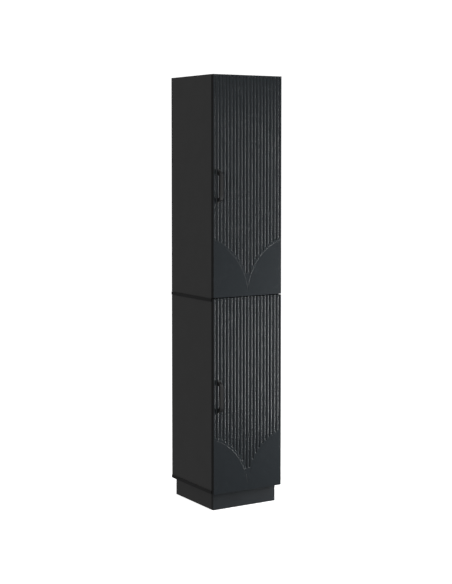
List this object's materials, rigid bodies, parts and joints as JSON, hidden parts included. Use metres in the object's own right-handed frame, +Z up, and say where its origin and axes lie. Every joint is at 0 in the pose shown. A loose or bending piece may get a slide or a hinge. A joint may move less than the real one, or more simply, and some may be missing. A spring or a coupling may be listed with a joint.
{
  "type": "pantry cabinet",
  "caption": "Tall narrow storage cabinet on a set-back plinth: fluted hinged doors, one above the other, with bow handles, close shelved bays.",
  "frame": {"origin": "on the floor, below the middle of the cabinet's overall box", "axes": "+Z up, -Y out of the doors' front, +X to the right for somebody facing the doors"},
  "size_m": [0.4, 0.45, 2.144],
  "materials": {
    "carcass_laminate": "black melamine-faced chipboard with a fine pearl grain, matt",
    "plinth_board": "black melamine-faced chipboard, matt",
    "back_hardboard": "thin hardboard painted black, slightly fibrous",
    "door_graphite": "milled MDF under a matt graphite film",
    "handle_black": "satin black powder coat on die-cast metal",
    "fitting_steel": "nickel-plated pressed steel",
    "buffer_rubber": "clear grey soft plastic button"
  },
  "bodies": {
    "carcass": {"plinth_front": "plinth_board", "plinth_back": "plinth_board", "plinth_left": "plinth_board", "plinth_right": "plinth_board", "bottom_board": "carcass_laminate", "middle_board": "carcass_laminate", "top_board": "carcass_laminate", "lower_side_left": "carcass_laminate", "lower_side_right": "carcass_laminate", "lower_back_panel": "back_hardboard", "lower_shelf_1": "carcass_laminate", "lower_shelf_1_pin_front_left": "fitting_steel", "lower_shelf_1_pin_front_right": "fitting_steel", "lower_shelf_1_pin_back_left": "fitting_steel", "lower_shelf_1_pin_back_right": "fitting_steel", "lower_shelf_2": "carcass_laminate", "lower_shelf_2_pin_front_left": "fitting_steel", "lower_shelf_2_pin_front_right": "fitting_steel", "lower_shelf_2_pin_back_left": "fitting_steel", "lower_shelf_2_pin_back_right": "fitting_steel", "lower_buffer_bottom": "buffer_rubber", "lower_buffer_top": "buffer_rubber", "lower_hinge_1_plate": "fitting_steel", "lower_hinge_1_arm": "fitting_steel", "lower_hinge_2_plate": "fitting_steel", "lower_hinge_2_arm": "fitting_steel", "upper_side_left": "carcass_laminate", "upper_side_right": "carcass_laminate", "upper_back_panel": "back_hardboard", "upper_shelf_1": "carcass_laminate", "upper_shelf_1_pin_front_left": "fitting_steel", "upper_shelf_1_pin_front_right": "fitting_steel", "upper_shelf_1_pin_back_left": "fitting_steel", "upper_shelf_1_pin_back_right": "fitting_steel", "upper_shelf_2": "carcass_laminate", "upper_shelf_2_pin_front_left": "fitting_steel", "upper_shelf_2_pin_front_right": "fitting_steel", "upper_shelf_2_pin_back_left": "fitting_steel", "upper_shelf_2_pin_back_right": "fitting_steel", "upper_buffer_bottom": "buffer_rubber", "upper_buffer_top": "buffer_rubber", "upper_hinge_1_plate": "fitting_steel", "upper_hinge_1_arm": "fitting_steel", "upper_hinge_2_plate": "fitting_steel", "upper_hinge_2_arm": "fitting_steel", "upper_hinge_3_plate": "fitting_steel", "upper_hinge_3_arm": "fitting_steel"},
    "lower_door_leaf": {"lower_door": "door_graphite", "lower_handle": "handle_black", "lower_handle_screw_bottom": "fitting_steel", "lower_handle_screw_top": "fitting_steel", "lower_hinge_1_cup": "fitting_steel", "lower_hinge_2_cup": "fitting_steel"},
    "upper_door_leaf": {"upper_door": "door_graphite", "upper_handle": "handle_black", "upper_handle_screw_bottom": "fitting_steel", "upper_handle_screw_top": "fitting_steel", "upper_hinge_1_cup": "fitting_steel", "upper_hinge_2_cup": "fitting_steel", "upper_hinge_3_cup": "fitting_steel"}
  },
  "joints": [
    {"name": "upper_door_swing", "type": "hinge", "parent": "carcass", "child": "upper_door_leaf", "pos_m": [0.191, -0.185, 1.0565], "axis": [0, 0, 1], "range_deg": [0, 110]},
    {"name": "lower_door_swing", "type": "hinge", "parent": "carcass", "child": "lower_door_leaf", "pos_m": [0.191, -0.185, 0.0865], "axis": [0, 0, 1], "range_deg": [0, 110]}
  ]
}
